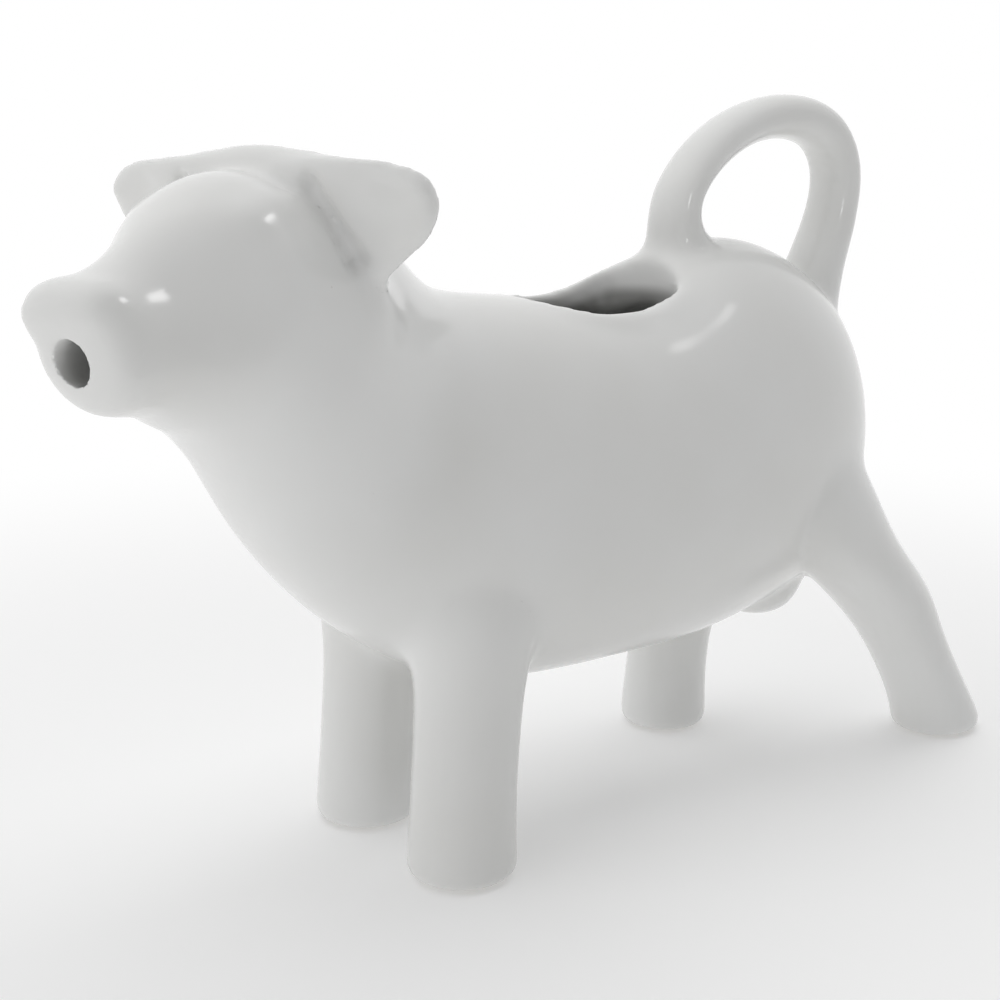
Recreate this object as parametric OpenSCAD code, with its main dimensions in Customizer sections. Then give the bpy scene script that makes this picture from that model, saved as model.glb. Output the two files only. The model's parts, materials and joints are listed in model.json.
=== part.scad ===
// Cow creamer: a small glazed porcelain milk jug in the shape of a walking cow.
// The cow looks along -X with its tail loop towards +X, and it stands on z = 0.
// Each module is one clay piece, and the pieces meet face to face at their luted seams.

/* [Body] */
// Front feet to the back of the rump
body_l = 85; // [81:1:90]
// Height of the back above the table, in front of the opening
back_h = 77; // [74:1:80]
// Depth of the body from back to belly
body_deep = 52; // [48:1:55]
// Width of the body
body_w = 43; // [40:1:47]
// Thickness of the porcelain wall
wall = 3; // [2.4:0.1:3.6]

/* [Fill opening] */
// Length of the opening along the back
opening_l = 27; // [24:1:28]
// Width of the opening
opening_w = 21; // [17:1:23]
// Front feet to the middle of the opening
opening_x = 32.5; // [31.5:0.5:33.5]

/* [Head] */
// Turn of the head to the cow's left, in degrees
head_turn = 21; // [10:1:28]
// Front feet to the front of the nose, along the head
head_reach = 58; // [55:1:61]
// Height of the crown between the ears
crown_h = 97; // [94:1:100]
// Width of the skull
skull_w = 27; // [24:1:30]
// Depth of the skull from forehead to jaw
skull_deep = 30; // [28:1:32]
// Bore of the pour hole in the mouth
pour_d = 5; // [4:0.5:5.5]
// Height of the pour hole above the table
pour_h = 75; // [74:0.5:76]

/* [Ears] */
// Tip to tip across both ears
ear_span = 48; // [44:1:54]
// Thickness of an ear
ear_t = 4; // [3:0.5:5]
// Height of an ear where it leaves the skull
ear_deep = 18; // [15:1:20]

/* [Tail loop] */
// Front feet to the back of the tail loop
loop_x = 87.5; // [85:0.5:91]
// Length of the tail loop
loop_l = 44; // [42:1:46]
// Height of the top of the loop above the table
loop_h = 104.5; // [101:0.5:110]
// Thickness of the strap, seen from the side
strap_t = 7; // [6:0.5:8]
// Width of the strap, across the cow
strap_w = 9; // [7:0.5:11]

/* [Legs] */
// Distance between the front feet
front_track = 24; // [22:0.5:26]
// Distance between the hind feet
rear_track = 27; // [25:0.5:29]
// Diameter of a foot
foot_d = 14.5; // [12:0.5:15.5]
// Front feet to the right hind foot, which is under the body
right_step = 61; // [58:1:64]
// Front feet to the left hind foot, which trails behind
left_step = 98.5; // [93:0.5:102]

/* [Udder] */
// Width of the udder
udder_w = 18; // [14:1:20]
// How far the udder hangs below the belly
udder_drop = 5; // [3:0.5:7]

/* [Hidden] */

porcelain = "whitesmoke";
skin_sides = 28;
limb_sides = 18;
rings_per_row = 2;
strap_round_share = 0.90;

// Rows of the body, from the rump forward, in shares: place along body_l, middle on back_h,
// half width on body_w, rise and fall from the middle on body_deep, and roundness
body_shares = [
    [1.000, 0.700, 0.080, 0.070, 0.070, 0.90],
    [0.984, 0.695, 0.170, 0.200, 0.230, 0.90],
    [0.935, 0.685, 0.280, 0.345, 0.400, 0.88],
    [0.850, 0.672, 0.385, 0.490, 0.460, 0.86],
    [0.720, 0.665, 0.455, 0.598, 0.515, 0.84],
    [0.560, 0.662, 0.490, 0.595, 0.540, 0.84],
    [0.400, 0.660, 0.500, 0.485, 0.535, 0.84],
    [0.240, 0.660, 0.500, 0.480, 0.535, 0.86],
    [0.090, 0.665, 0.480, 0.490, 0.530, 0.88],
];
// Rows of the neck and head, from the withers to the nose, in shares: place along head_reach,
// middle on crown_h, turn on head_turn, half width on skull_w, rise and fall on skull_deep,
// the backward lean in degrees, and roundness
head_shares = [
    [0.030, 0.562, 0.15, 0.705, 0.800, 0.822, 6, 0.90],
    [0.190, 0.625, 0.45, 0.620, 0.740, 0.700, 18, 0.92],
    [0.330, 0.712, 0.80, 0.575, 0.680, 0.720, 23, 0.94],
    [0.450, 0.785, 1.00, 0.540, 0.640, 0.700, 22, 0.94],
    [0.560, 0.820, 1.00, 0.515, 0.592, 0.630, 18, 0.94],
    [0.665, 0.828, 1.00, 0.480, 0.508, 0.545, 11, 0.92],
    [0.755, 0.815, 1.00, 0.415, 0.395, 0.445, 5, 0.92],
    [0.825, 0.802, 1.00, 0.320, 0.265, 0.345, 1, 0.92],
    [0.885, 0.795, 1.00, 0.278, 0.220, 0.300, -1, 0.90],
    [0.940, 0.797, 1.00, 0.278, 0.218, 0.290, -4, 0.88],
    [0.985, 0.802, 1.00, 0.240, 0.170, 0.240, -6, 0.88],
    [1.000, 0.804, 1.00, 0.130, 0.085, 0.110, -6, 0.90],
];
// Row of the head at which the neck is luted to the body, and the last row with a cavity
collar_row = 2;
mouth_row = 8;
mouth_share = 0.86;

// A smooth curve through rows of numbers, at place t counted in rows
function row_at(rows, i) = rows[max(0, min(len(rows) - 1, i))];
function curve(rows, t) =
    let (i = min(floor(t), len(rows) - 2), f = t - i, a = row_at(rows, i - 1), b = rows[i],
        c = rows[i + 1], d = row_at(rows, i + 2))
    b + f / 2 * (c - a + f * (2 * a - 5 * b + 4 * c - d + f * (3 * b - a - 3 * c + d)));
function smooth(rows) =
    [for (i = [0:(len(rows) - 1) * rings_per_row]) curve(rows, i / rings_per_row)];

// A ring across the skin at a row of [x, y, z, turn, lean, half width, rise, fall, roundness]
function soften(v, round_share) = sign(v) * pow(abs(v), round_share);
function skin_ring(row) =
    let (turn = row[3], lean = row[4], side = [sin(turn), -cos(turn), 0],
        crown = [sin(lean) * cos(turn), sin(lean) * sin(turn), cos(lean)])
    [for (k = [0:skin_sides - 1])
        let (a = 360 * k / skin_sides, reach = sin(a) > 0 ? row[6] : row[7])
        [row[0], row[1], row[2]] + side * row[5] * soften(cos(a), row[8])
            + crown * reach * soften(sin(a), row[8])];
function pick(list, first, last) = [for (i = [first:last]) list[i]];
function thinned(row) = [for (i = [0:8]) row[i] - (i > 4 && i < 8 ? wall : 0)];

body_rows = [for (s = body_shares)
    [s[0] * body_l, 0, s[1] * back_h, 0, 0, s[2] * body_w, s[3] * body_deep, s[4] * body_deep, s[5]]];
head_rows = [for (s = head_shares)
    let (reach = s[0] * head_reach, turn = s[2] * head_turn)
    [-reach * cos(turn), -reach * sin(turn), s[1] * crown_h, turn, s[6],
        s[3] * skull_w, s[4] * skull_deep, s[5] * skull_deep, s[7]]];
skin_rows = concat(body_rows, head_rows);
skin_rings = [for (row = smooth(skin_rows)) skin_ring(row)];
collar = (len(body_rows) + collar_row) * rings_per_row;

// The cavity follows the skin one wall inside it, and stops a wall short at the rump
rump_x = body_l - wall;
cavity_rows = [for (i = [1:len(body_rows) + mouth_row])
    let (row = thinned(skin_rows[i]))
    [for (k = [0:8]) k == 0 ? min(row[0], rump_x - (i > 1 ? wall / 2 : 0)) : row[k]]];
cavity_rings = [for (row = smooth(cavity_rows)) skin_ring(row)];

// The way the turned head points, and the way to the cow's left across it
ahead = [-cos(head_turn), -sin(head_turn), 0];
left = [sin(head_turn), -cos(head_turn), 0];

// Skins a stack of rings, each with its points clockwise seen from the last ring
module loft(rings) {
    n = len(rings[0]);
    last = len(rings) - 1;
    points = [for (r = rings) each r];
    sides = [for (i = [0:last - 1], k = [0:n - 1])
        let (a = i * n + k, b = i * n + (k + 1) % n) each [[a, b + n, b], [a, a + n, b + n]]];
    ends = [[for (k = [0:n - 1]) k], [for (k = [n - 1:-1:0]) last * n + k]];
    polyhedron(points = points, faces = concat(sides, ends), convexity = 6);
}

// Rows of an ear, from inside the skull to the tip, in shares: place along half of ear_span,
// place along head_reach, middle on crown_h, height on ear_deep, thickness on ear_t, lean
ear_shares = [
    [0.05, 0.480, 0.884, 1.02, 1.10, -24],
    [0.35, 0.470, 0.890, 1.05, 1.05, -24],
    [0.58, 0.465, 0.900, 0.92, 1.00, -22],
    [0.78, 0.465, 0.914, 0.70, 0.95, -20],
    [0.93, 0.465, 0.926, 0.42, 0.85, -18],
    [1.00, 0.466, 0.931, 0.16, 0.45, -18],
];
ear_dish_share = 0.16;

// A ring across an ear: a curved leaf, dished on the side that looks ahead
function ear_ring(s, hand) =
    let (middle = hand * left * s[0] * ear_span / 2 + ahead * s[1] * head_reach
            + [0, 0, s[2] * crown_h],
        deep = s[3] * ear_deep / 2, thick = s[4] * ear_t / 2, dish = ear_dish_share * deep,
        up = [sin(s[5]) * -ahead[0], sin(s[5]) * -ahead[1], cos(s[5])])
    [for (k = [0:limb_sides - 1])
        let (a = hand * 360 * k / limb_sides, sag = dish * (cos(a) * cos(a) * 2 - 1))
        middle + up * deep * cos(a) + ahead * (thick * sin(a) + sag)];
function ear_rings(hand) = [for (s = smooth(ear_shares)) ear_ring(s, hand)];

// Rows of the tail strap, from the back of the opening over the top to the rump, in shares:
// place along loop_l, height from back_h to loop_h, thickness on strap_t, width on strap_w
loop_shares = [
    [0.330, -0.420, 2.90, 1.70],
    [0.265, -0.130, 2.55, 1.50],
    [0.150, 0.130, 1.42, 1.22],
    [0.125, 0.390, 0.88, 1.05],
    [0.245, 0.645, 0.88, 1.00],
    [0.430, 0.815, 0.92, 1.00],
    [0.630, 0.873, 0.98, 1.00],
    [0.810, 0.805, 1.05, 1.00],
    [0.905, 0.600, 1.00, 1.00],
    [0.895, 0.350, 0.98, 1.03],
    [0.835, 0.090, 1.10, 1.15],
    [0.770, -0.160, 1.35, 1.35],
    [0.730, -0.400, 1.60, 1.50],
];
function loop_place(s) =
    [loop_x - loop_l + s[0] * loop_l, 0, back_h + s[1] * (loop_h - back_h)];
function strap_ring(rows, i) =
    let (s = rows[i], run = loop_place(row_at(rows, i + 1)) - loop_place(row_at(rows, i - 1)),
        out = [-run[2], 0, run[0]] / norm(run))
    [for (k = [0:limb_sides - 1])
        let (a = 360 * k / limb_sides)
        loop_place(s) + out * s[2] * strap_t / 2 * soften(cos(a), strap_round_share)
            - [0, s[3] * strap_w / 2 * soften(sin(a), strap_round_share), 0]];
strap_rows = smooth(loop_shares);
strap_rings = [for (i = [0:len(strap_rows) - 1]) strap_ring(strap_rows, i)];

// Rows of a front leg from the sole up, in shares: height on back_h, place from the foot
// along and across on foot_d (inward is positive), half length and half width on foot_d
front_shares = [
    [0.000, 0.00, 0.00, 0.45, 0.45],
    [0.012, 0.00, 0.00, 0.505, 0.505],
    [0.040, 0.00, 0.00, 0.52, 0.52],
    [0.150, 0.03, 0.01, 0.50, 0.50],
    [0.290, 0.07, 0.02, 0.50, 0.50],
    [0.400, 0.12, 0.04, 0.55, 0.54],
    [0.510, 0.17, 0.14, 0.66, 0.62],
    [0.630, 0.20, 0.34, 0.70, 0.54],
];
// The same for the right hind leg, which stands under the body
right_hind_shares = [
    [0.000, 0.00, 0.00, 0.42, 0.42],
    [0.012, 0.00, 0.00, 0.475, 0.475],
    [0.040, 0.00, 0.00, 0.50, 0.50],
    [0.150, 0.04, 0.00, 0.47, 0.47],
    [0.280, 0.16, 0.02, 0.50, 0.49],
    [0.400, 0.40, 0.06, 0.66, 0.56],
    [0.510, 0.70, 0.16, 0.88, 0.62],
    [0.600, 0.85, 0.30, 0.92, 0.60],
    [0.690, 0.90, 0.50, 0.70, 0.46],
];
// The same for the left hind leg, which trails behind
left_hind_shares = [
    [0.000, -0.07, -0.10, 0.47, 0.44],
    [0.012, -0.07, -0.10, 0.52, 0.485],
    [0.045, -0.09, -0.09, 0.53, 0.49],
    [0.120, -0.26, -0.08, 0.49, 0.47],
    [0.240, -0.68, -0.06, 0.50, 0.47],
    [0.350, -1.14, -0.02, 0.66, 0.53],
    [0.470, -1.82, 0.06, 0.72, 0.60],
    [0.600, -2.12, 0.24, 0.74, 0.62],
    [0.690, -2.10, 0.50, 0.62, 0.46],
];
// hand is -1 for the cow's left and 1 for its right
function leg_rings(shares, x, track, hand) =
    [for (s = smooth(shares)) [for (k = [0:limb_sides - 1])
        let (a = 360 * k / limb_sides)
        [x + foot_d * (s[1] + s[3] * cos(a)),
            hand * (track / 2 - foot_d * s[2]) + foot_d * s[4] * sin(a), s[0] * back_h]]];
front_left_rings = leg_rings(front_shares, 0, front_track, -1);
front_right_rings = leg_rings(front_shares, 0, front_track, 1);
rear_left_rings = leg_rings(left_hind_shares, left_step, rear_track, -1);
rear_right_rings = leg_rings(right_hind_shares, right_step, rear_track, 1);

// Rows of the udder from its lowest point up, in shares of udder_w: height and half width
udder_shares = [
    [0.00, 0.14],
    [0.04, 0.28],
    [0.21, 0.42],
    [0.56, 0.50],
    [1.11, 0.52],
];
// The udder hangs under the body at this place among the body's rows
udder_row_share = 3.4;
udder_row = curve(body_rows, udder_row_share);
udder_low = udder_row[2] - udder_row[7] - udder_drop;
udder_rings = [for (s = smooth(udder_shares)) [for (k = [0:limb_sides - 1])
    let (a = 360 * k / limb_sides)
    [udder_row[0] + udder_w * s[1] * cos(a), udder_w * s[1] * sin(a),
        udder_low + udder_w * s[0]]]];

// The middle of everything, so that the origin is under the middle of the cow
every_point = [for (rings = [skin_rings, strap_rings, rear_left_rings, front_right_rings,
    ear_rings(1), ear_rings(-1)]) each [for (r = rings) each r]];
xs = [for (p = every_point) p[0]];
ys = [for (p = every_point) p[1]];
middle = [(min(xs) + max(xs)) / 2, (min(ys) + max(ys)) / 2, 0];

module body_skin() { loft(skin_rings); }

// An oval post through the back, as large as the opening
module opening_post() {
    translate([opening_x, 0, back_h - body_deep / 2])
        linear_extrude(body_deep)
            polygon([for (k = [0:skin_sides - 1])
                let (a = 360 * k / skin_sides)
                [opening_l / 2 * cos(a), opening_w / 2 * sin(a)]]);
}

module body() {
    color(porcelain)
        translate(-middle)
            difference() {
                loft(pick(skin_rings, 0, collar));
                loft(cavity_rings);
                opening_post();
            }
}

module head() {
    color(porcelain)
        translate(-middle)
            difference() {
                loft(pick(skin_rings, collar, len(skin_rings) - 1));
                loft(cavity_rings);
                translate([0, 0, pour_h] + ahead * head_reach * mouth_share)
                    rotate([0, -90, head_turn])
                        cylinder(d = pour_d, h = head_reach, $fn = 48);
            }
}

module ear(hand) {
    color(porcelain)
        translate(-middle)
            difference() {
                loft(ear_rings(hand));
                body_skin();
            }
}
module left_ear() { ear(1); }
module right_ear() { ear(-1); }

module tail_handle() {
    color(porcelain)
        translate(-middle)
            difference() {
                loft(strap_rings);
                body_skin();
                opening_post();
            }
}

module leg(rings) {
    color(porcelain)
        translate(-middle)
            difference() {
                loft(rings);
                body_skin();
            }
}
module front_left_leg() { leg(front_left_rings); }
module front_right_leg() { leg(front_right_rings); }
module rear_left_leg() { leg(rear_left_rings); }
module rear_right_leg() { leg(rear_right_rings); }

module udder() {
    color(porcelain)
        translate(-middle)
            difference() {
                loft(udder_rings);
                body_skin();
                loft(rear_left_rings);
                loft(rear_right_rings);
            }
}

body();
head();
left_ear();
right_ear();
tail_handle();
front_left_leg();
front_right_leg();
rear_left_leg();
rear_right_leg();
udder();
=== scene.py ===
import json
import math
import bpy
import numpy as np
from mathutils import Matrix, Vector


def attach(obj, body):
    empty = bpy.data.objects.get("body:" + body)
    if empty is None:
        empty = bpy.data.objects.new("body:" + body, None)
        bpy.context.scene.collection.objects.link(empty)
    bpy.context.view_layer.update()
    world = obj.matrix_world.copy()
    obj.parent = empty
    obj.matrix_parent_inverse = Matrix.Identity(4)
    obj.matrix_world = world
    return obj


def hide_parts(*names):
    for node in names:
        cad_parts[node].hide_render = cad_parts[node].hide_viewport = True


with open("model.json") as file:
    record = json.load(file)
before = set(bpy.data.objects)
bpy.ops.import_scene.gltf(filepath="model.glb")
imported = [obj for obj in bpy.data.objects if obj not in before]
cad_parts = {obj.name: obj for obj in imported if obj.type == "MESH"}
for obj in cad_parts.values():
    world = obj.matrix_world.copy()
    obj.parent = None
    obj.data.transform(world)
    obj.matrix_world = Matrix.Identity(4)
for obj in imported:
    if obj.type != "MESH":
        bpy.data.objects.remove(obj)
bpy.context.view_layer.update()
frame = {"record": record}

mm = 0.001
mounts = {m["name"]: Vector(m["pos_m"]) for m in frame["record"]["mounts"]}
feet = (mounts["front_left_sole"] + mounts["front_right_sole"]) / 2  # midway between the front feet


def at(x, y, z):  # a place in mm, counted from between the front feet
    return feet + Vector((x, y, z)) * mm


def activate(piece):  # nothing else stays selected
    if bpy.context.object and bpy.context.object.mode != "OBJECT":
        bpy.ops.object.mode_set(mode="OBJECT")
    bpy.ops.object.select_all(action="DESELECT")
    piece.select_set(True)
    bpy.context.view_layer.objects.active = piece


def addRing(centre, side, up, halfWidth, halfHeight, sides):
    turn = Matrix((side, up, side.cross(up))).transposed().to_euler()
    bpy.ops.mesh.primitive_circle_add(vertices=sides, radius=mm, location=centre, rotation=turn)
    ring = bpy.context.object
    ring.scale = (halfWidth, halfHeight, 1)
    bpy.ops.object.transform_apply(location=True, rotation=True, scale=True)
    return ring


def applyModifier(piece, kind, **settings):
    activate(piece)
    step = piece.modifiers.new(kind.lower(), kind)
    for setting, value in settings.items():
        setattr(step, setting, value)
    bpy.ops.object.modifier_apply(modifier=step.name)


def joinPieces(name, pieces):
    activate(pieces[0])
    for piece in pieces:
        piece.select_set(True)
    bpy.ops.object.join()
    pieces[0].name = name
    return pieces[0]


def loft(name, rings, sides=24, levels=2):  # rings bridged into one closed, smooth clay form
    bpy.ops.object.select_all(action="DESELECT")
    clay = joinPieces(name, [addRing(*ring, sides) for ring in rings])
    bpy.ops.object.mode_set(mode="EDIT")
    bpy.ops.mesh.select_mode(type="EDGE")
    bpy.ops.mesh.select_all(action="SELECT")
    bpy.ops.mesh.bridge_edge_loops(type="SINGLE")
    bpy.ops.mesh.select_all(action="SELECT")
    bpy.ops.mesh.fill_holes(sides=0)
    bpy.ops.mesh.select_all(action="SELECT")
    bpy.ops.mesh.normals_make_consistent(inside=False)
    bpy.ops.object.mode_set(mode="OBJECT")
    if levels:
        applyModifier(clay, "SUBSURF", levels=levels, render_levels=levels)
    return clay


def between(rows, t):  # a smooth curve through rows of numbers
    i = min(int(t), len(rows) - 2)
    f = t - i
    four = rows[max(i - 1, 0)], rows[i], rows[i + 1], rows[min(i + 2, len(rows) - 1)]
    return [b + f / 2 * (c - a + f * (2 * a - 5 * b + 4 * c - d + f * (3 * b - a - 3 * c + d)))
            for a, b, c, d in zip(*four)]


def smoothRows(rows, perRow=2):
    return [between(rows, i / perRow) for i in range((len(rows) - 1) * perRow + 1)]


bodyClay = dict(
    length=85, backHeight=77, depth=52, width=43, wall=3, ceiling=71,
    # place along the length, middle, half width, rise and fall
    rows=[(1.000, 0.700, 0.080, 0.070, 0.070),
          (0.984, 0.695, 0.170, 0.200, 0.230),
          (0.935, 0.685, 0.285, 0.350, 0.405),
          (0.850, 0.672, 0.393, 0.495, 0.467),
          (0.720, 0.665, 0.465, 0.602, 0.523),
          (0.560, 0.662, 0.500, 0.600, 0.562),
          (0.400, 0.660, 0.510, 0.490, 0.559),
          (0.240, 0.660, 0.510, 0.485, 0.556),
          (0.090, 0.665, 0.490, 0.495, 0.538)],
    roundness=1.012)

headClay = dict(
    reach=58, crownHeight=97, skullWidth=27, skullDepth=30, turn=21,
    # place along the reach, middle, turn, half width, rise, fall and backward lean
    rows=[(0.030, 0.562, 0.15, 0.715, 0.810, 0.880, 6),
          (0.190, 0.625, 0.45, 0.625, 0.745, 0.765, 18),
          (0.330, 0.712, 0.80, 0.580, 0.650, 0.735, 23),
          (0.450, 0.785, 1.00, 0.545, 0.515, 0.700, 22),
          (0.560, 0.820, 1.00, 0.518, 0.452, 0.630, 18),
          (0.665, 0.828, 1.00, 0.485, 0.438, 0.545, 11),
          (0.755, 0.815, 1.00, 0.420, 0.375, 0.445, 5),
          (0.825, 0.802, 1.00, 0.335, 0.305, 0.345, 1),
          (0.885, 0.795, 1.00, 0.290, 0.245, 0.300, -1),
          (0.940, 0.795, 1.00, 0.275, 0.195, 0.290, -4),
          (0.975, 0.795, 1.00, 0.235, 0.140, 0.240, -6),
          (0.990, 0.797, 1.00, 0.130, 0.070, 0.110, -6)],
    mouthRow=7)

headTurn = math.radians(headClay["turn"])
ahead = Vector((-math.cos(headTurn), -math.sin(headTurn), 0))
left = Vector((math.sin(headTurn), -math.cos(headTurn), 0))


def onHead(along, across, z):  # along the head, to the cow's left and up, in mm
    return feet + (ahead * along + left * across + Vector((0, 0, z))) * mm


def skinRow(b=bodyClay, h=headClay):  # place, turn, lean, half width, rise and fall, in mm
    torso = [(s[0] * b["length"], 0, s[1] * b["backHeight"], 0, 0,
              s[2] * b["width"], s[3] * b["depth"], s[4] * b["depth"]) for s in b["rows"]]
    neck = []
    for s in h["rows"]:
        reach, turn = s[0] * h["reach"], s[2] * headTurn
        neck.append((-reach * math.cos(turn), -reach * math.sin(turn), s[1] * h["crownHeight"], turn,
                     math.radians(s[6]), s[3] * h["skullWidth"], s[4] * h["skullDepth"],
                     s[5] * h["skullDepth"]))
    return torso + neck


def skinRing(row):
    x, y, z, turn, lean, halfWidth, rise, fall = row
    side = Vector((math.sin(turn), -math.cos(turn), 0))
    up = Vector((math.sin(lean) * math.cos(turn), math.sin(lean) * math.sin(turn), math.cos(lean)))
    grow = bodyClay["roundness"]
    return at(x, y, z) + up * (rise - fall) / 2 * mm, side, up, halfWidth * grow, (rise + fall) / 2 * grow


def makeBarrel():  # body, neck and head in one
    return loft("barrel", [skinRing(row) for row in smoothRows(skinRow())], sides=28)


def makeCavity():  # one wall inside the skin
    wall = bodyClay["wall"]
    rows = skinRow()[1:len(bodyClay["rows"]) + headClay["mouthRow"] + 1]
    thinned = []
    for x, y, z, turn, lean, halfWidth, rise, fall in rows:
        headroom = bodyClay["ceiling"] - z if x > 0 else math.inf  # a flat ceiling under the back
        thinned.append((min(x, bodyClay["length"] - wall), y, z, turn, lean, halfWidth - wall,
                        min(rise - wall, headroom), fall - wall))
    return loft("cavity", [skinRing(row) for row in smoothRows(thinned)], sides=28)


tailClay = dict(
    back=87.5, length=44, low=77, high=104.5, thick=7, wide=9,
    plump=1.03,  # makes up for what the smoothing takes off
    # place along the length, height, thickness and width
    rows=[(0.330, -0.420, 2.90, 1.70),
          (0.265, -0.130, 2.55, 1.50),
          (0.128, 0.130, 1.42, 1.22),
          (0.098, 0.390, 0.88, 1.05),
          (0.220, 0.650, 0.88, 1.00),
          (0.414, 0.822, 0.90, 1.00),
          (0.625, 0.873, 0.98, 1.00),
          (0.810, 0.805, 1.05, 1.00),
          (0.905, 0.600, 1.00, 1.00),
          (0.895, 0.350, 0.98, 1.03),
          (0.835, 0.090, 1.10, 1.15),
          (0.770, -0.160, 1.35, 1.35),
          (0.730, -0.400, 1.60, 1.50)])


def makeTail(t=tailClay):
    rows = smoothRows(t["rows"])
    middles = [at(t["back"] - t["length"] * (1 - s[0]), 0, t["low"] + s[1] * (t["high"] - t["low"]))
               for s in rows]
    rings = []
    for i, s in enumerate(rows):
        run = (middles[min(i + 1, len(rows) - 1)] - middles[max(i - 1, 0)]).normalized()
        out = Vector((-run.z, 0, run.x))
        rings.append((middles[i], out, Vector((0, -1, 0)), s[2] * t["thick"] / 2 * t["plump"],
                      s[3] * t["wide"] / 2 * t["plump"]))
    return loft("tail", rings, sides=16)


legClay = dict(
    foot=14.5, height=77, plump=1.02,
    # height, place along and across from the sole (inward is positive), half length and half width
    front=[(0.000, 0.00, 0.00, 0.45, 0.45),
           (0.012, 0.00, 0.00, 0.525, 0.525),
           (0.040, 0.00, 0.00, 0.52, 0.52),
           (0.150, 0.03, 0.01, 0.50, 0.50),
           (0.290, 0.09, 0.02, 0.515, 0.50),
           (0.400, 0.14, 0.04, 0.57, 0.54),
           (0.510, 0.17, 0.14, 0.66, 0.62),
           (0.630, 0.20, 0.34, 0.70, 0.54)],
    rearRight=[(0.000, 0.00, 0.00, 0.43, 0.43),
               (0.012, 0.00, 0.00, 0.495, 0.495),
               (0.040, 0.00, 0.00, 0.50, 0.50),
               (0.150, 0.04, 0.00, 0.47, 0.47),
               (0.280, 0.16, 0.02, 0.50, 0.49),
               (0.400, 0.40, 0.06, 0.66, 0.56),
               (0.510, 0.70, 0.16, 0.88, 0.62),
               (0.600, 0.85, 0.30, 0.92, 0.60),
               (0.690, 0.90, 0.50, 0.70, 0.46)],
    rearLeft=[(0.000, -0.07, -0.10, 0.46, 0.43),
              (0.012, -0.07, -0.10, 0.535, 0.495),
              (0.045, -0.11, -0.09, 0.52, 0.49),
              (0.120, -0.34, -0.08, 0.48, 0.47),
              (0.240, -0.76, -0.06, 0.50, 0.47),
              (0.350, -1.19, -0.02, 0.65, 0.53),
              (0.470, -1.82, 0.06, 0.72, 0.60),
              (0.600, -2.12, 0.24, 0.74, 0.62),
              (0.690, -2.10, 0.50, 0.62, 0.46)])


def makeLeg(name, rows, sole, inward):
    size, plump = legClay["foot"], legClay["plump"]
    rings = [(sole + Vector((size * s[1], inward * size * s[2], s[0] * legClay["height"])) * mm,
              Vector((1, 0, 0)), Vector((0, 1, 0)), size * s[3] * plump, size * s[4] * plump)
             for s in smoothRows(rows)]
    return loft(name, rings, sides=16)


earClay = dict(
    span=48, along=27, thick=4.0, deep=18,
    # place across, middle above the table, height, thickness and forward lean
    rows=[(0.05, 85.8, 1.02, 1.10, -24),
          (0.35, 86.3, 1.05, 1.05, -24),
          (0.58, 87.3, 0.92, 1.00, -22),
          (0.78, 88.7, 0.70, 0.95, -20),
          (0.93, 89.8, 0.42, 0.85, -18),
          (0.99, 90.3, 0.18, 0.45, -18)])


def makeEar(name, hand, e=earClay):
    rings = []
    for s in smoothRows(e["rows"]):
        lean = math.radians(s[4])
        up = Vector((0, 0, math.cos(lean))) - ahead * math.sin(lean)
        front = hand * left.cross(up)
        rings.append((onHead(e["along"], hand * s[0] * e["span"] / 2, s[1]), up, front,
                      s[2] * e["deep"] / 2, s[3] * e["thick"] / 2))
    return loft(name, rings, sides=16)


udderClay = dict(x=68, low=21.5, width=18,
                 # height and half width
                 rows=[(0.00, 0.14), (0.04, 0.28), (0.21, 0.42), (0.56, 0.50), (1.11, 0.52)])


def makeUdder(u=udderClay):
    rings = [(at(u["x"], 0, u["low"] + s[0] * u["width"]), Vector((1, 0, 0)), Vector((0, 1, 0)),
              s[1] * u["width"], s[1] * u["width"]) for s in smoothRows(u["rows"])]
    return loft("udder clay", rings, sides=16)


openingCut = dict(
    x=30.2, length=23.6, width=18.4, tilt=10,
    # height above the table and how much wider the cut is there
    rows=[(50, 9), (58, 8.6), (63, 7.4), (65, 6.6), (67, 5.4), (69, 3.8), (70.5, 2.3), (71.8, 0.9),
          (73, 0.1), (75, 0), (84, 0), (100, 0)],
    # place along the back and half width of the outline
    outline=[(17.6, 0.6), (18.6, 3.0), (21.5, 6.2), (25.5, 8.5), (30.5, 9.4), (35.5, 9.6), (39.4, 9.3),
             (41.6, 7.8), (42.6, 4.8), (42.9, 1.2)])
rim = dict(
    halfWidth=9.4, halfLength=14,
    # height over the table, its rise towards the tail, its fall to the sides and the far side's lift
    height=76.1, riseFrom=34, rise=0.42, fall=2.4, farSide=1.5,
    # radius of the bead of clay, how far out and how far down it lies
    bead=1.4, beadOut=0.9, beadDrop=1.15,
    # how it is smoothed once it is cut
    softOut=0.6, softReach=4.5, softRepeats=20)
pourCut = dict(across=-0.5, height=74.2,
               # place along the head and radius
               rows=[(40, 3.9), (50, 3.8), (53.5, 3.1), (55.2, 2.5), (56.4, 2.4), (57.2, 2.55),
                     (58.0, 2.8), (59.5, 3.0), (66, 3.0)],
               lipAlong=57.2, lipRadius=2.8, softReach=3.0, softRepeats=12)


def makeOpeningPost(o=openingCut):
    tilt = math.radians(o["tilt"])
    rings = [(at(o["x"], 0, z), Vector((math.cos(tilt), 0, math.sin(tilt))), Vector((0, 1, 0)),
              o["length"] / 2 + flare, o["width"] / 2 + flare) for z, flare in o["rows"]]
    return loft("opening post", rings)


def makeOpeningOutline(o=openingCut):  # the squarer end in front of the tail
    return loft("opening outline", [(at(x, 0, 80), Vector((0, 1, 0)), Vector((0, 0, 1)), half, 24)
                                    for x, half in smoothRows(o["outline"])])


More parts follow.
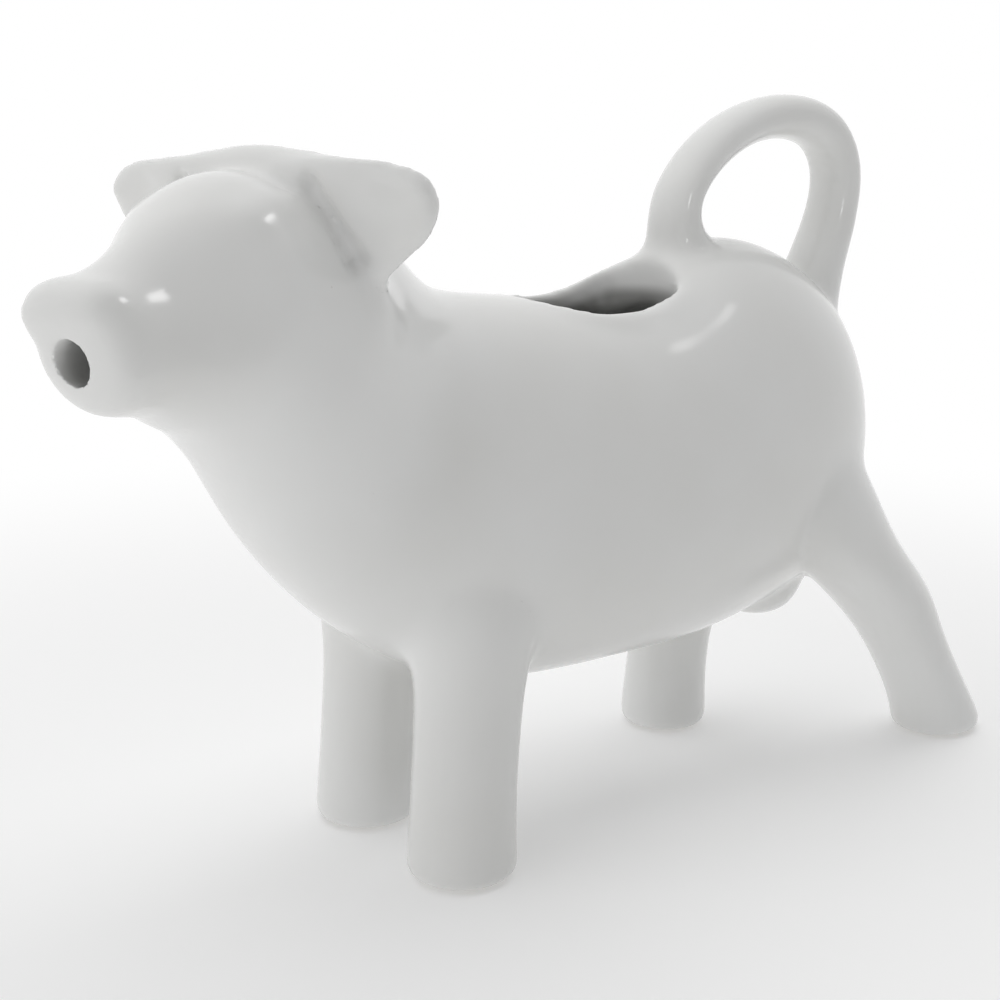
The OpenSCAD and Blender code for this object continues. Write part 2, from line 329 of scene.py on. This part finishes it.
def rimPath(out=0, drop=0, r=rim):  # once round the opening, on the back's own height
    outline = openingCut["outline"]
    sides = [(x, hand * half) for hand, rows in ((1, outline), (-1, outline[::-1])) for x, half in rows]
    path = []
    for x, y in sides:
        aside = y / r["halfWidth"]
        along = openingCut["x"] + (x - openingCut["x"]) * (1 + out / r["halfLength"])
        height = (r["height"] + r["rise"] * max(x - r["riseFrom"], 0) - r["fall"] * aside ** 2
                  + r["farSide"] * max(aside, 0))
        path.append(at(along, y * (1 + out / r["halfWidth"]), height - drop))
    return path + path[:2]


def makeLip(r=rim):  # a bead of clay that gives the rim its roundness
    spots = rimPath(out=r["beadOut"], drop=r["beadDrop"])
    rings = []
    for i, spot in enumerate(spots):
        run = (spots[min(i + 1, len(spots) - 1)] - spots[max(i - 1, 0)]).normalized()
        side = Vector((0, 0, 1)).cross(run).normalized()
        rings.append((spot, side, run.cross(side), r["bead"], r["bead"]))
    return loft("lip", rings, sides=12)


def makePourBore(p=pourCut):
    return loft("pour bore", [(onHead(along, p["across"], p["height"]), left, Vector((0, 0, 1)), radius,
                               radius) for along, radius in p["rows"]])


def mouthPath(p=pourCut, spots=8):  # once round the lip of the mouth
    turns = [a / (spots / 2) * math.pi for a in range(spots + 1)]
    return [onHead(p["lipAlong"], p["across"] + p["lipRadius"] * math.cos(a),
                   p["height"] + p["lipRadius"] * math.sin(a)) for a in turns]


poll = dict(along=28.5, height=0, thick=2.5,
            # place across, middle above the height and size
            rows=[(-23.7, 90.4, 0.25), (-22.3, 90.9, 0.52), (-16, 92.2, 0.68), (-8, 93.2, 0.86),
                  (0, 93.7, 1.00), (8, 93.2, 0.86), (16, 92.2, 0.68), (22.3, 90.9, 0.52),
                  (23.7, 90.4, 0.25)])
nosePad = dict(along=55.2, height=79.6, thick=3.5,
               rows=[(-7.5, -1.1, 0.45), (-6.7, -0.7, 0.85), (-4.4, -0.2, 1.00), (0, 0, 1.00),
                     (3.8, 0, 0.90), (5.4, -0.1, 0.60), (6.3, -0.3, 0.26)])


def makeBand(name, band):  # a roll of clay laid across the head
    rings = [(onHead(band["along"], s[0], band["height"] + s[1]), ahead, Vector((0, 0, 1)),
              s[2] * band["thick"], s[2] * band["thick"]) for s in smoothRows(band["rows"])]
    return loft(name, rings, sides=16)


def boolean(piece, other, operation):
    applyModifier(piece, "BOOLEAN", operation=operation, object=other, solver="MANIFOLD")
    bpy.data.objects.remove(other, do_unlink=True)


def near(piece, spots):  # 1 on the spots' paths, 0 a reach away from them
    places = np.empty(len(piece.data.vertices) * 3)
    piece.data.vertices.foreach_get("co", places)
    places = places.reshape(-1, 3)
    weights = np.zeros(len(places))
    for path, reach in spots:
        for start, end in zip(path, path[1:] + path[-1:]):
            run = np.array(end - start)
            share = np.clip((places - start) @ run / max(run @ run, 1e-12), 0, 1)
            gap = np.linalg.norm(places - start - share[:, None] * run, axis=1)
            weights = np.maximum(weights, 1 - gap / (reach * mm))
    return weights


def shapeWith(piece, weights, kind, **settings):
    group = piece.vertex_groups.new(name="soft")
    for i in np.flatnonzero(weights):
        group.add([int(i)], weights[i], "REPLACE")
    applyModifier(piece, kind, vertex_group="soft", **settings)
    piece.vertex_groups.clear()


def soften(piece, spots, repeats):
    shapeWith(piece, np.minimum(near(piece, spots) * 2, 1), "SMOOTH", factor=0.5, iterations=repeats)


def press(piece, spots, height):  # pushes the skin out, or in where the height is under 0
    w = near(piece, spots)
    shapeWith(piece, w * w * (3 - 2 * w), "DISPLACE", strength=height * mm, mid_level=0)


def onePath(points, reach, place=onHead):
    return [([place(*point) for point in points], reach)]


def bothSides(points, reach, place=onHead):  # a path and its mirror image
    return [([place(a, hand * b, c) for a, b, c in points], reach) for hand in (1, -1)]


print("clay forms")
soles = {name: mounts[name + "_sole"] for name in ("front_left", "front_right", "rear_left", "rear_right")}
skin = joinPieces("skin", [
    makeBarrel(), makeTail(),
    makeLeg("leg clay", legClay["front"], soles["front_left"], 1),
    makeLeg("leg clay", legClay["front"], soles["front_right"], -1),
    makeLeg("leg clay", legClay["rearLeft"], soles["rear_left"], 1),
    makeLeg("leg clay", legClay["rearRight"], soles["rear_right"], -1),
    makeEar("ear clay", 1), makeEar("ear clay", -1), makeUdder(), makeLip(),
    makeBand("poll", poll), makeBand("nose pad", nosePad)])

luting = dict(
    voxel=0.7, smooth=5,
    # the paths of the joins and how far round them the clay is smoothed
    frontLegs=([(0, 10, 32)], 17), rearLeftLeg=([(78, -10, 50)], 22), rearRightLeg=([(70, 10, 40)], 20),
    tailEnd=([(84, 0, 73)], 11), udder=([(68, 0, 26)], 12),
    ears=([(23.5, 13.8, 79), (26, 15, 83)], 7), tailFront=([(48, 0, 83)], 8),
    nose=([(57, 0, 78)], 11), rimOut=2.6, rimReach=3.5,
    # how often
    repeats=dict(body=60, ears=24, nose=5, rim=30))

print("luting the pieces")
applyModifier(skin, "REMESH", mode="VOXEL", voxel_size=luting["voxel"] * mm)
applyModifier(skin, "SMOOTH", factor=0.5, iterations=luting["smooth"])
bodyJoins = bothSides(*luting["frontLegs"], at)
for join in ("rearLeftLeg", "rearRightLeg", "tailEnd", "udder"):
    bodyJoins += onePath(*luting[join], at)
soften(skin, bodyJoins, luting["repeats"]["body"])
soften(skin, bothSides(*luting["ears"]), luting["repeats"]["ears"])
soften(skin, onePath(*luting["tailFront"], at), luting["repeats"]["body"])
soften(skin, onePath(*luting["nose"]), luting["repeats"]["nose"])
soften(skin, [(rimPath(out=luting["rimOut"]), luting["rimReach"])], luting["repeats"]["rim"])

relief = dict(
    # path, how far round it and how far the skin is pushed out
    earRoot=([(23, 14.5, 78.5)], 6, 0.8),
    eyeHollow=([(47.2, 7.4, 81.8), (44.2, 9.4, 81.5)], 9, -1.3),
    earBowl=([(31, 17, 90.6), (30, 22, 90.2)], 4.5, -0.6),
    hornBud=([(34, 8.5, 90.6), (39, 8.5, 88.6)], 4, 0.4),
    shoulder=([(3, 19, 50), (1, 17, 36)], 14, 0.7),
    # paths that are smoothed before the rest is pressed
    earFoot=([(23.5, 14.5, 79.5)], 6), noseEdge=([(53.2, 6, 79.2)], 6), feetRepeats=24)


def pressBoth(path, reach, height, place=onHead):
    press(skin, bothSides(path, reach, place), height)


print("pressing the hollows")
pressBoth(*relief["earRoot"])
soften(skin, bothSides(*relief["earFoot"]) + bothSides(*relief["noseEdge"]), relief["feetRepeats"])
pressBoth(*relief["eyeHollow"])
pressBoth(*relief["earBowl"])
pressBoth(*relief["hornBud"])
pressBoth(*relief["shoulder"], at)

finish = dict(voxel=0.55, smooth=6, sharpAngle=40)

print("cutting the filling hole")
boolean(skin, makeOpeningPost(), "DIFFERENCE")
boolean(skin, makeOpeningOutline(), "DIFFERENCE")
applyModifier(skin, "REMESH", mode="VOXEL", voxel_size=finish["voxel"] * mm)
applyModifier(skin, "SMOOTH", factor=0.5, iterations=finish["smooth"])

earFold = dict(
    # the ridge before the fold, then the fold itself: path, how far round it and how far it is pushed
    ridge=([(32.5, 9.6, 90.2), (31.3, 12, 86.6)], 3.2, 0.5),
    path=[(29.9, 9.2, 91.7), (29.2, 10.6, 89.2), (28.5, 11.9, 86.2), (27.8, 13.2, 83.6)],
    sides=(2.0, -2.1), bottom=(1.7, -0.9), softReach=4, softRepeats=3,
    # the ear as a whole is smoothed once more
    ear=([(29, 14, 86), (29, 22, 89)], 10), earRepeats=8)

print("folding the ears")
pressBoth(*earFold["ridge"])
pressBoth(earFold["path"], *earFold["sides"])
soften(skin, bothSides(earFold["path"], earFold["softReach"]), earFold["softRepeats"])
pressBoth(earFold["path"][:3], *earFold["bottom"])
soften(skin, bothSides(*earFold["ear"]), earFold["earRepeats"])

print("hollowing, rounding the rims")
soften(skin, [(rimPath(out=rim["softOut"]), rim["softReach"])], rim["softRepeats"])
boolean(skin, makeCavity(), "DIFFERENCE")
boolean(skin, makePourBore(), "DIFFERENCE")
soften(skin, [(mouthPath(), pourCut["softReach"])], pourCut["softRepeats"])
activate(skin)
bpy.ops.object.shade_smooth_by_angle(angle=math.radians(finish["sharpAngle"]))


def makeBlock(name, low, high, turned=False):  # turned blocks count along and across the head
    place, turn = (onHead, headTurn) if turned else (at, 0)
    bpy.ops.mesh.primitive_cube_add(size=mm, location=place(*((a + b) / 2 for a, b in zip(low, high))),
                                    rotation=(0, 0, turn))
    block = bpy.context.object
    block.name = name
    block.scale = [b - a for a, b in zip(low, high)]
    bpy.ops.object.transform_apply(location=True, rotation=True, scale=True)
    return block


def outsideBarrel(block):  # what the block holds outside the barrel's own surface
    core = makeBarrel()
    applyModifier(core, "DISPLACE", strength=seams["offBarrel"] * mm, mid_level=0)
    boolean(block, core, "DIFFERENCE")
    return block


def bisect(block, place, outward):
    activate(block)
    bpy.ops.object.mode_set(mode="EDIT")
    bpy.ops.mesh.select_all(action="SELECT")
    bpy.ops.mesh.bisect(plane_co=place, plane_no=outward, use_fill=True, clear_outer=True)
    bpy.ops.object.mode_set(mode="OBJECT")
    return block


def copyOf(piece, name):
    activate(piece)
    bpy.ops.object.duplicate()
    twin = bpy.context.object
    twin.name = name
    return twin


def takePiece(name, mother, block):  # the block's share of the mother becomes a piece of its own
    piece = copyOf(mother, name + "_skin")
    boolean(piece, copyOf(block, "spare"), "INTERSECT")
    boolean(mother, block, "DIFFERENCE")
    return piece


seams = dict(
    offBarrel=0.9, neck=(-18.32, -5.53, 69.06), neckFaces=(0.881, 0.266, -0.3906),
    # two corners of the block that holds each piece
    head=((-90, -60, 30), (20, 40, 120)),
    ears={"left_ear": ((12, 8, 74), (46, 34, 106)), "right_ear": ((12, -34, 74), (46, -8, 106))},
    rest={"tail_handle": ((40, -9, 66), (100, 9, 112)),
          "front_left_leg": ((-18, -30, -5), (18, 0, 50)),
          "front_right_leg": ((-18, 0, -5), (18, 30, 50)),
          "rear_left_leg": ((50, -30, -5), (110, -7.5, 66)),
          "rear_right_leg": ((40, 7.5, -5), (100, 30, 66)),
          "udder": ((56, -7.5, 5), (80, 7.5, 40))})

print("dividing the skin into its pieces")
whole = copyOf(skin, "whole")
skin.name = "body_skin"
head = takePiece("head", skin, bisect(makeBlock("block", *seams["head"]), at(*seams["neck"]),
                                      Vector(seams["neckFaces"])))
pieces = [skin, head]
for name, corners in seams["ears"].items():
    pieces.append(takePiece(name, head, outsideBarrel(makeBlock("block", *corners, True))))
for name, corners in seams["rest"].items():
    pieces.append(takePiece(name, skin, outsideBarrel(makeBlock("block", *corners))))


def addNode(tree, kind, **settings):
    node = tree.nodes.new(kind)
    for setting, value in settings.items():
        setattr(node, setting, value)
    return node


def plug(tree, node, **values):  # constants and links into a node's sockets
    for socket, value in values.items():
        socket = node.inputs[socket.replace("_", " ")]
        if isinstance(value, bpy.types.NodeSocket):
            tree.links.new(value, socket)
        else:
            socket.default_value = value


def addNoise(tree, size, detail=2):  # size in mm
    noise = addNode(tree, "ShaderNodeTexNoise")
    where = addNode(tree, "ShaderNodeTexCoord")
    plug(tree, noise, Vector=where.outputs["Object"], Scale=1 / (size * mm), Detail=detail)
    return noise.outputs["Fac"]


def addRange(tree, value, fromMin, fromMax, toMin, toMax, **settings):
    ramp = addNode(tree, "ShaderNodeMapRange", **settings)
    plug(tree, ramp, Value=value, From_Min=fromMin, From_Max=fromMax, To_Min=toMin, To_Max=toMax)
    return ramp.outputs["Result"]


def addMath(tree, operation, first, second):
    step = addNode(tree, "ShaderNodeMath", operation=operation)
    for socket, value in zip(step.inputs, (first, second)):
        if isinstance(value, bpy.types.NodeSocket):
            tree.links.new(value, socket)
        else:
            socket.default_value = value
    return step.outputs[0]


def addColours(tree, value, first, second):
    blend = addNode(tree, "ShaderNodeMix", data_type="RGBA")
    tree.links.new(value, blend.inputs[0])
    for socket, colour in zip((6, 7), (first, second)):
        if isinstance(colour, bpy.types.NodeSocket):
            tree.links.new(colour, blend.inputs[socket])
        else:
            blend.inputs[socket].default_value = (*colour, 1)
    return blend.outputs[2]


def addBump(tree, height, depth, under=None):  # depth in mm
    bump = addNode(tree, "ShaderNodeBump")
    plug(tree, bump, Height=height, Distance=depth * mm, Strength=1)
    if under:
        plug(tree, bump, Normal=under)
    return bump.outputs["Normal"]


glazeLook = dict(
    # sizes in mm: thicker and thinner glaze, and the size of its clouds
    thick=(0.82, 0.823, 0.815), thin=(0.785, 0.785, 0.77), cloud=26,
    smooth=0.11, dull=0.17, dullSize=6, wave=(9, 0.035), peel=(0.9, 0.0012), ior=1.52,
    # wiped soles
    bare=(0.70, 0.685, 0.65), bareRough=0.8, soleFrom=0.25, soleTo=0.55, ragged=0.12, raggedSize=1.5,
    # iron specks: how far apart, how wide, which share of them has none, and how strong
    speck=(0.42, 0.38, 0.33), speckSize=7, speckWide=0.022, speckNone=0.80, speckStrong=0.25)
# painted shade: a darker colour on the cavity's inner walls and the opening's own wall, standing in for
# the shadow that falls inside
paintedShadeInside = dict(
    colour=(0.36, 0.36, 0.35),
    # the cavity as a tube: its middle, half width and half height, and where the painted shade starts and
    # is full
    middle=50.8, halfWidth=21.9, halfHeight=25.4, start=0.965, full=0.85, tubeEnds=((12, 17), (52, 47)),
    # the opening's own wall, also painted darker: the back's slope, heights, half width and ends
    slopeFrom=34, slopeTo=47, slope=5.5, wallFull=70.7, wallStart=72.9, floorStart=38, floorFull=45,
    wallWide=(10.0, 10.6), wallEnds=((17.5, 19), (44.2, 43.4)))


def fadeAlong(tree, x, ends, toMin=0, toMax=1):  # by the place along the cow, in mm from the front feet
    start, end = (at(place, 0, 0).x for place in ends)
    return addRange(tree, x, start, end, toMin, toMax)


def maskPaintedShade(tree, where, n=paintedShadeInside):  # 1 on the inner walls, where shade is painted in, 0 outside
    place = addNode(tree, "ShaderNodeSeparateXYZ")
    plug(tree, place, Vector=where)
    x, y, z = place.outputs
    middle = at(0, 0, n["middle"])
    width, height = n["halfWidth"] * mm, n["halfHeight"] * mm
    tube = addNode(tree, "ShaderNodeMapping")
    plug(tree, tube, Vector=where, Scale=(0, 1 / width, 1 / height),
         Location=(0, -middle.y / width, -middle.z / height))
    depth = addNode(tree, "ShaderNodeVectorMath", operation="LENGTH")
    tree.links.new(tube.outputs["Vector"], depth.inputs[0])
    inTube = addRange(tree, depth.outputs["Value"], n["full"], n["start"], 1, 0,
                      interpolation_type="SMOOTHSTEP")
    for ends in n["tubeEnds"]:
        inTube = addMath(tree, "MULTIPLY", inTube, fadeAlong(tree, x, ends))
    slope = fadeAlong(tree, x, (n["slopeFrom"], n["slopeTo"]), 0, n["slope"] * mm)
    onWall = addRange(tree, addMath(tree, "SUBTRACT", z, slope), n["wallFull"] * mm, n["wallStart"] * mm,
                      1, 0, interpolation_type="SMOOTHSTEP")
    onWall = addMath(tree, "MULTIPLY", onWall,
                     addRange(tree, z, n["floorStart"] * mm, n["floorFull"] * mm, 0, 1))
    across = addMath(tree, "ABSOLUTE", addMath(tree, "SUBTRACT", y, middle.y), 0)
    onWall = addMath(tree, "MULTIPLY", onWall,
                     addRange(tree, across, n["wallWide"][0] * mm, n["wallWide"][1] * mm, 1, 0))
    for ends in n["wallEnds"]:
        onWall = addMath(tree, "MULTIPLY", onWall, fadeAlong(tree, x, ends))
    return addMath(tree, "MAXIMUM", inTube, onWall)


def addSpecks(tree, where, g=glazeLook):
    cells = addNode(tree, "ShaderNodeTexVoronoi")
    plug(tree, cells, Vector=where, Scale=1 / (g["speckSize"] * mm))
    chance = addNode(tree, "ShaderNodeSeparateColor")
    plug(tree, chance, Color=cells.outputs["Color"])
    dot = addRange(tree, cells.outputs["Distance"], 0.5 * g["speckWide"], g["speckWide"], 1, 0)
    chosen = addRange(tree, chance.outputs["Red"], g["speckNone"], g["speckNone"] + 0.01, 0,
                      g["speckStrong"])
    return addMath(tree, "MULTIPLY", dot, chosen)


def maskSoles(tree, where, g=glazeLook):  # 1 where the glaze is wiped off, with a ragged edge
    place = addNode(tree, "ShaderNodeSeparateXYZ")
    plug(tree, place, Vector=where)
    ragged = g["ragged"] * mm
    edge = addRange(tree, addNoise(tree, g["raggedSize"]), 0.3, 0.7, -ragged, ragged)
    return addRange(tree, addMath(tree, "ADD", place.outputs["Z"], edge), g["soleFrom"] * mm,
                    g["soleTo"] * mm, 1, 0)


def makeGlaze(g=glazeLook):
    glaze = bpy.data.materials.new("white glaze")
    glaze.use_nodes = True
    tree = glaze.node_tree
    where = addNode(tree, "ShaderNodeTexCoord").outputs["Object"]
    cloud = addRange(tree, addNoise(tree, g["cloud"]), 0.35, 0.65, 0, 1)
    colour = addColours(tree, cloud, g["thin"], g["thick"])
    colour = addColours(tree, addSpecks(tree, where), colour, g["speck"])
    # painted shade: the inner walls take the darker colour in place of the shadow inside the cavity
    colour = addColours(tree, maskPaintedShade(tree, where), colour, paintedShadeInside["colour"])
    bare = maskSoles(tree, where)
    colour = addColours(tree, bare, colour, g["bare"])
    rough = addRange(tree, addNoise(tree, g["dullSize"]), 0.3, 0.7, g["smooth"], g["dull"])
    blend = addNode(tree, "ShaderNodeMix", data_type="FLOAT")
    tree.links.new(bare, blend.inputs[0])
    tree.links.new(rough, blend.inputs[2])
    blend.inputs[3].default_value = g["bareRough"]
    wave = addBump(tree, addNoise(tree, g["wave"][0]), g["wave"][1])
    peel = addBump(tree, addNoise(tree, g["peel"][0]), g["peel"][1], wave)
    plug(tree, tree.nodes["Principled BSDF"], Base_Color=colour, Roughness=blend.outputs[0],
         Normal=peel, IOR=g["ior"])
    return glaze


print("glazing")
glaze = makeGlaze()
for piece in pieces:
    applyModifier(piece, "DATA_TRANSFER", object=whole, use_loop_data=True,
                  data_types_loops={"CUSTOM_NORMAL"}, loop_mapping="POLYINTERP_NEAREST")
    piece.data.materials.clear()
    piece.data.materials.append(glaze)
    print(piece.name, len(piece.data.polygons))
    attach(piece, "root")
    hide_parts(piece.name.removesuffix("_skin"))
bpy.data.objects.remove(whole, do_unlink=True)

camera = dict(place=(-0.1339, -0.1597, 0.094), down=12.7, turn=-37.07, lens=54)

print("camera, floor and lamps")
bpy.ops.object.camera_add(location=camera["place"],
                          rotation=(math.radians(90 - camera["down"]), 0, math.radians(camera["turn"])))
bpy.context.object.data.lens = camera["lens"]
bpy.context.scene.camera = bpy.context.object

studio = dict(
    floorSize=6, floorDrop=0.0002,
    dark=-98,  # bearing of the room's darker side
    # colour of the floor, and of its darker side in the object's reflected light
    paper=0.94, shade=0.90, shadeFrom=0.05, shadeTo=0.22,
    # how the floor's own glow evens it out away from the shadow
    shadowStart=0.09, shadowEnd=0.30, shadowFade=0.25, glow=0.34,
    # strength of the room's light on the pale side and the dark side
    behind=0.35, front=0.27, paleEdge=-0.4, darkEdge=0.9)

bpy.ops.mesh.primitive_plane_add(size=studio["floorSize"], location=(0, 0, -studio["floorDrop"]))
floor = bpy.context.object
floor.name = "floor"


def seenDirectly(tree):  # 1 for the camera and for what gloss and glass show, 0 for the light itself
    rays = addNode(tree, "ShaderNodeLightPath").outputs
    return addMath(tree, "MAXIMUM", addMath(tree, "MAXIMUM", rays["Is Camera Ray"], rays["Is Glossy Ray"]),
                   rays["Is Transmission Ray"])


def fadeAcross(tree, vector, start, end, atStart, atEnd):  # by how far a place lies towards the dark side
    dot = addNode(tree, "ShaderNodeVectorMath", operation="DOT_PRODUCT")
    tree.links.new(vector, dot.inputs[0])
    dark = math.radians(studio["dark"])
    dot.inputs[1].default_value = (math.cos(dark), math.sin(dark), 0)
    return addRange(tree, dot.outputs["Value"], start, end, atStart, atEnd,
                    interpolation_type="SMOOTHSTEP")


def makePaper(s=studio):
    paper = bpy.data.materials.new("paper")
    paper.use_nodes = True
    tree = paper.node_tree
    shader = tree.nodes["Principled BSDF"]
    where = addNode(tree, "ShaderNodeTexCoord").outputs["Object"]
    seen = seenDirectly(tree)
    distance = addNode(tree, "ShaderNodeVectorMath", operation="LENGTH")
    tree.links.new(where, distance.inputs[0])
    bounce = fadeAcross(tree, where, s["shadeFrom"], s["shadeTo"], s["paper"], s["shade"])
    plug(tree, shader, Base_Color=addRange(tree, seen, 0, 1, bounce, s["paper"]), Roughness=1,
         Specular_IOR_Level=0)
    fade = addRange(tree, distance.outputs["Value"], s["shadowStart"], s["shadowEnd"], s["shadowFade"], 1,
                    interpolation_type="SMOOTHSTEP")
    glow = addNode(tree, "ShaderNodeEmission")
    mix = addNode(tree, "ShaderNodeMixShader")
    tree.links.new(addRange(tree, seen, 0, 1, s["glow"], fade), mix.inputs["Fac"])
    tree.links.new(shader.outputs["BSDF"], mix.inputs[1])
    tree.links.new(glow.outputs["Emission"], mix.inputs[2])
    plug(tree, tree.nodes["Material Output"], Surface=mix.outputs["Shader"])
    return paper


floor.data.materials.append(makePaper())

world = bpy.data.worlds.new("studio")
bpy.context.scene.world = world
world.use_nodes = True
tree = world.node_tree
towards = addNode(tree, "ShaderNodeTexCoord").outputs["Generated"]
around = fadeAcross(tree, towards, studio["paleEdge"], studio["darkEdge"], studio["behind"],
                    studio["front"])
plug(tree, tree.nodes["Background"], Color=(1, 1, 1, 1),
     Strength=addRange(tree, seenDirectly(tree), 0, 1, around, 1))

lamps = [  # bearing, height angle, distance, width, height, brightness, seen in the glaze, only on
    ("overhead", 90, 80, 1.1, 1.3, 1.3, 1.5, False, None),
    ("front panel", 172, 12, 0.9, 0.9, 0.9, 0.9, False, None),
    ("rear panel", 12, 20, 0.9, 0.8, 0.8, 0.8, False, None),
    ("brow window", -33, 51, 0.9, 0.27, 0.11, 7, True, pieces[1:4]),
    ("tail window", -113, 23, 0.9, 0.14, 0.14, 5, True, pieces[4:5]),
    ("high window", -42, 52, 0.9, 0.12, 0.08, 3, True, pieces[:1])]
for name, bearing, rise, away, wide, tall, brightness, shown, lit in lamps:
    bearing, rise = math.radians(bearing), math.radians(rise)
    aim = Vector((math.cos(bearing) * math.cos(rise), math.sin(bearing) * math.cos(rise), math.sin(rise)))
    bpy.ops.object.light_add(type="AREA", location=aim * away + Vector((0, 0, 0.05)))
    lamp = bpy.context.object
    lamp.name = name
    lamp.data.shape = "RECTANGLE"
    lamp.data.size = wide
    lamp.data.size_y = tall
    lamp.data.energy = brightness * math.pi * wide * tall
    lamp.visible_glossy = shown
    lamp.visible_diffuse = not lit
    if lit:
        lamp.light_linking.receiver_collection = bpy.data.collections.new(name)
        for piece in lit:
            lamp.light_linking.receiver_collection.objects.link(piece)
    lamp.rotation_euler = aim.to_track_quat("Z", "Y").to_euler()

bpy.context.scene.view_settings.view_transform = "Standard"
